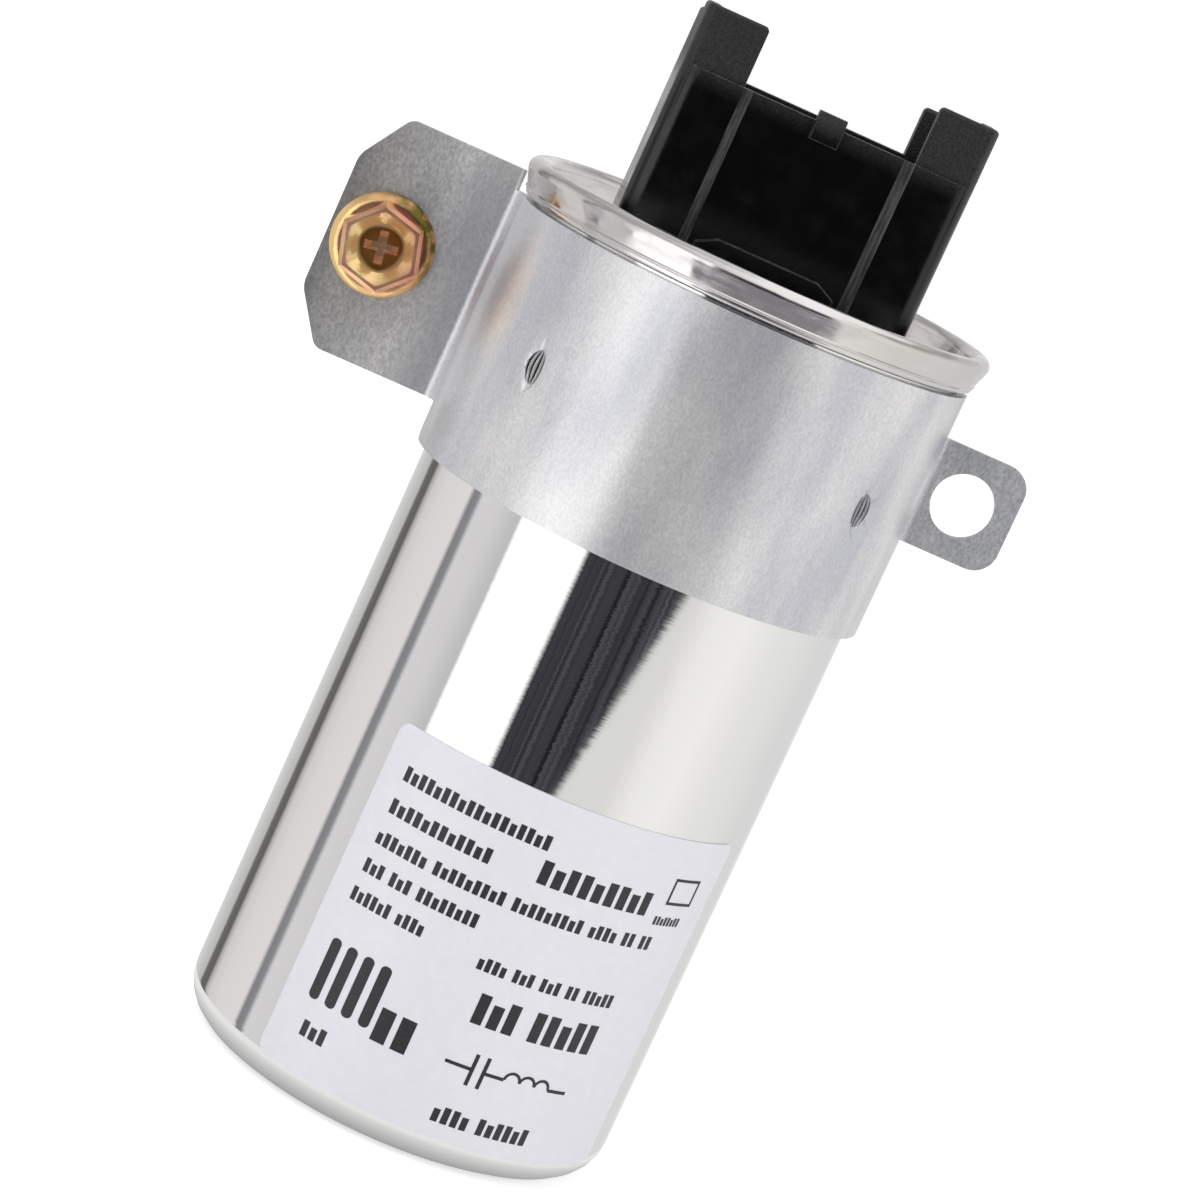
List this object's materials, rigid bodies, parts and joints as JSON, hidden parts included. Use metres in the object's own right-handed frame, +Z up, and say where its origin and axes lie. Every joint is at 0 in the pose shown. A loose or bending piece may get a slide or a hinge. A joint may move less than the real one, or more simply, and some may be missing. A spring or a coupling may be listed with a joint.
{
  "type": "motor run capacitor",
  "caption": "Motor run capacitor: round aluminium can with a seamed cover, plug socket on top, and a sheet clamp bracket with a screw tab and a holed ear.",
  "frame": {"origin": "centre of the can's flat base", "axes": "+Z up along the can's axis, -Y towards the front of the bracket and the socket's catch, +X towards the holed ear"},
  "size_m": [0.0735, 0.0488, 0.1115],
  "materials": {
    "can_aluminium": "polished, lightly brushed",
    "cover_aluminium": "polished, rolled",
    "seal_rubber": "matt",
    "socket_plastic": "spark-eroded and satin",
    "galvanised_steel": "dull galvanised",
    "yellow_zinc": "yellow iridescent zinc",
    "label_film": "satin film",
    "tinned_brass": "bright tin",
    "plated_steel": "nickel plated",
    "bush_plastic": "moulded",
    "cap_plastic": "moulded",
    "bobbin_plastic": "moulded",
    "enamelled_copper": "enamelled",
    "metallised_film": "metallised film",
    "core_plastic": "moulded",
    "sprayed_zinc": "rough sprayed",
    "wrap_film": "clear film",
    "insulator_plastic": "moulded",
    "tinned_copper": "tinned"
  },
  "bodies": {
    "root": {"can": "can_aluminium", "cover": "cover_aluminium", "seam_seal": "seal_rubber", "connector_housing": "socket_plastic", "clamp_bracket": "galvanised_steel", "mounting_screw": "yellow_zinc", "rating_label": "label_film", "terminal_blade_left": "tinned_brass", "terminal_blade_right": "tinned_brass", "terminal_rivet_left": "plated_steel", "terminal_rivet_right": "plated_steel", "insulator_bush_left": "bush_plastic", "insulator_bush_right": "bush_plastic", "terminal_seal_left": "seal_rubber", "terminal_seal_right": "seal_rubber", "interrupter_cap": "cap_plastic", "choke_bobbin": "bobbin_plastic", "choke_coil": "enamelled_copper", "film_winding": "metallised_film", "winding_core": "core_plastic", "end_spray_top": "sprayed_zinc", "end_spray_bottom": "sprayed_zinc", "winding_wrap": "wrap_film", "base_insulator": "insulator_plastic", "lead_bottom": "tinned_copper", "lead_top": "tinned_copper", "lead_choke": "tinned_copper"}
  },
  "joints": []
}
